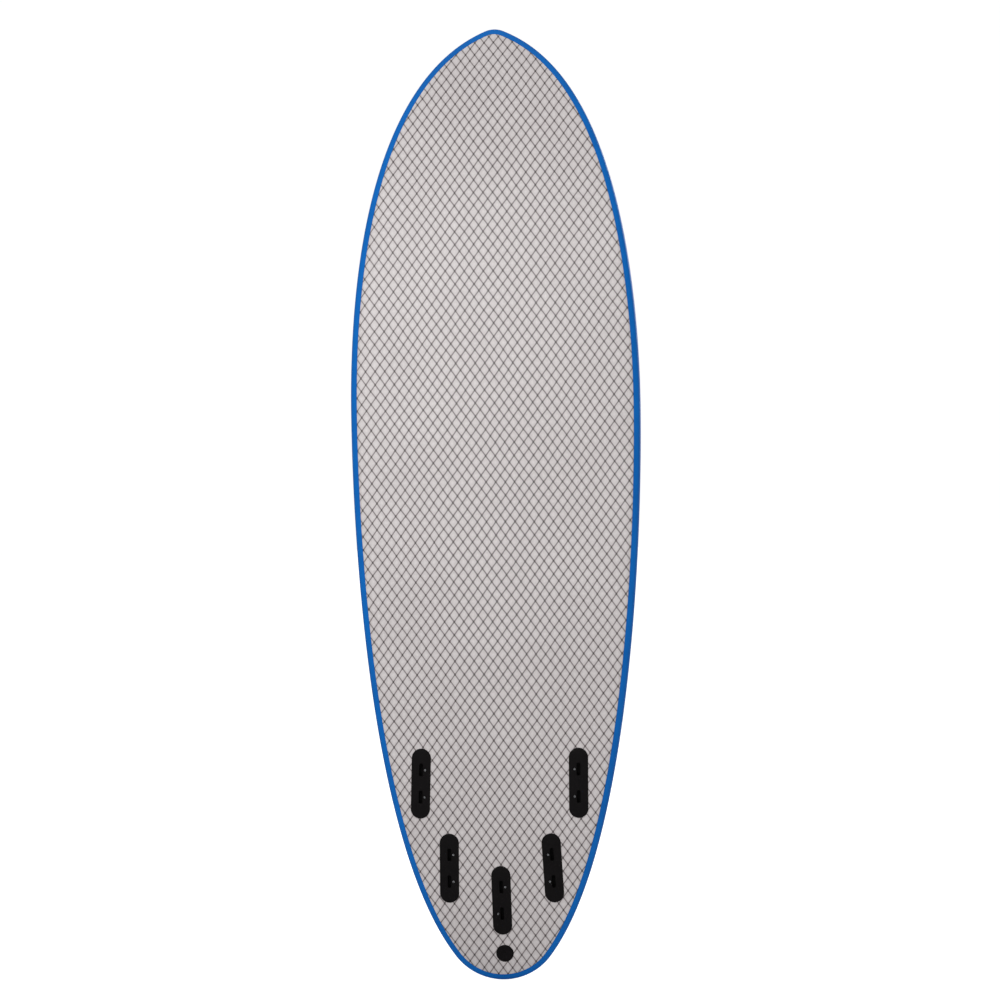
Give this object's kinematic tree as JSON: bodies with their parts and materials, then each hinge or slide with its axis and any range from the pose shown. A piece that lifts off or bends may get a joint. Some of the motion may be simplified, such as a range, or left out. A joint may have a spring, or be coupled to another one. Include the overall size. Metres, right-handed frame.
{
  "type": "surfboard",
  "caption": "Soft-top foam surfboard with rounded nose and tail, slick bottom over diamond mesh, blue foam rails and deck, tabbed fin boxes with grub screws, and a through-bolted leash plug.",
  "frame": {"origin": "the tip of the tail, on the centreline, where the board stands when it is held upright", "axes": "+Z from tail to nose, +Y from the bottom to the deck, +X across to the right as the bottom is faced"},
  "size_m": [0.55, 0.13, 1.829],
  "materials": {
    "slick": "satin",
    "netting": "matte",
    "rail_foam": "satin",
    "deck_foam": "fine grained",
    "core_foam": "beaded",
    "block_foam": "matte",
    "stringer_ply": "sawn",
    "box_nylon": "fine grained",
    "steel": "machined"
  },
  "bodies": {
    "board": {"bottom_skin": "slick", "mesh_layer": "netting", "rail_left": "rail_foam", "rail_right": "rail_foam", "deck_skin": "deck_foam", "core_left": "core_foam", "core_centre": "core_foam", "core_right": "core_foam", "stringer_left": "stringer_ply", "stringer_right": "stringer_ply", "fin_box_front_left": "box_nylon", "foam_block_front_left": "block_foam", "fin_box_front_right": "box_nylon", "foam_block_front_right": "block_foam", "fin_box_rear_left": "box_nylon", "foam_block_rear_left": "block_foam", "fin_box_rear_right": "box_nylon", "foam_block_rear_right": "block_foam", "fin_box_centre": "box_nylon", "foam_block_centre": "block_foam", "leash_disc": "box_nylon", "leash_cup": "box_nylon", "leash_pin": "steel", "leash_bolt": "steel"},
    "screw_front_left_fore": {"grub_screw_front_left_fore": "steel"},
    "screw_front_left_aft": {"grub_screw_front_left_aft": "steel"},
    "screw_front_right_fore": {"grub_screw_front_right_fore": "steel"},
    "screw_front_right_aft": {"grub_screw_front_right_aft": "steel"},
    "screw_rear_left_fore": {"grub_screw_rear_left_fore": "steel"},
    "screw_rear_left_aft": {"grub_screw_rear_left_aft": "steel"},
    "screw_rear_right_fore": {"grub_screw_rear_right_fore": "steel"},
    "screw_rear_right_aft": {"grub_screw_rear_right_aft": "steel"},
    "screw_centre_fore": {"grub_screw_centre_fore": "steel"},
    "screw_centre_aft": {"grub_screw_centre_aft": "steel"}
  },
  "joints": [
    {"name": "front_left_fore_screw_travel", "type": "slide", "parent": "board", "child": "screw_front_left_fore", "axis": [-0.2418, 0.9681, 0.0657], "range_m": [-0.0008, 0.003]},
    {"name": "front_left_aft_screw_travel", "type": "slide", "parent": "board", "child": "screw_front_left_aft", "axis": [-0.2418, 0.9681, 0.0657], "range_m": [-0.0008, 0.003]},
    {"name": "front_right_fore_screw_travel", "type": "slide", "parent": "board", "child": "screw_front_right_fore", "axis": [0.2419, 0.9687, 0.0552], "range_m": [-0.0008, 0.003]},
    {"name": "front_right_aft_screw_travel", "type": "slide", "parent": "board", "child": "screw_front_right_aft", "axis": [0.2419, 0.9687, 0.0552], "range_m": [-0.0008, 0.003]},
    {"name": "rear_left_fore_screw_travel", "type": "slide", "parent": "board", "child": "screw_rear_left_fore", "axis": [-0.2419, 0.9648, 0.1033], "range_m": [-0.0008, 0.003]},
    {"name": "rear_left_aft_screw_travel", "type": "slide", "parent": "board", "child": "screw_rear_left_aft", "axis": [-0.2419, 0.9648, 0.1033], "range_m": [-0.0008, 0.003]},
    {"name": "rear_right_fore_screw_travel", "type": "slide", "parent": "board", "child": "screw_rear_right_fore", "axis": [0.2416, 0.9639, 0.1121], "range_m": [-0.0008, 0.003]},
    {"name": "rear_right_aft_screw_travel", "type": "slide", "parent": "board", "child": "screw_rear_right_aft", "axis": [0.2416, 0.9639, 0.1121], "range_m": [-0.0008, 0.003]},
    {"name": "centre_fore_screw_travel", "type": "slide", "parent": "board", "child": "screw_centre_fore", "axis": [-0.2419, 0.9636, 0.1135], "range_m": [-0.0008, 0.003]},
    {"name": "centre_aft_screw_travel", "type": "slide", "parent": "board", "child": "screw_centre_aft", "axis": [0.2419, 0.9627, 0.121], "range_m": [-0.0008, 0.003]}
  ]
}
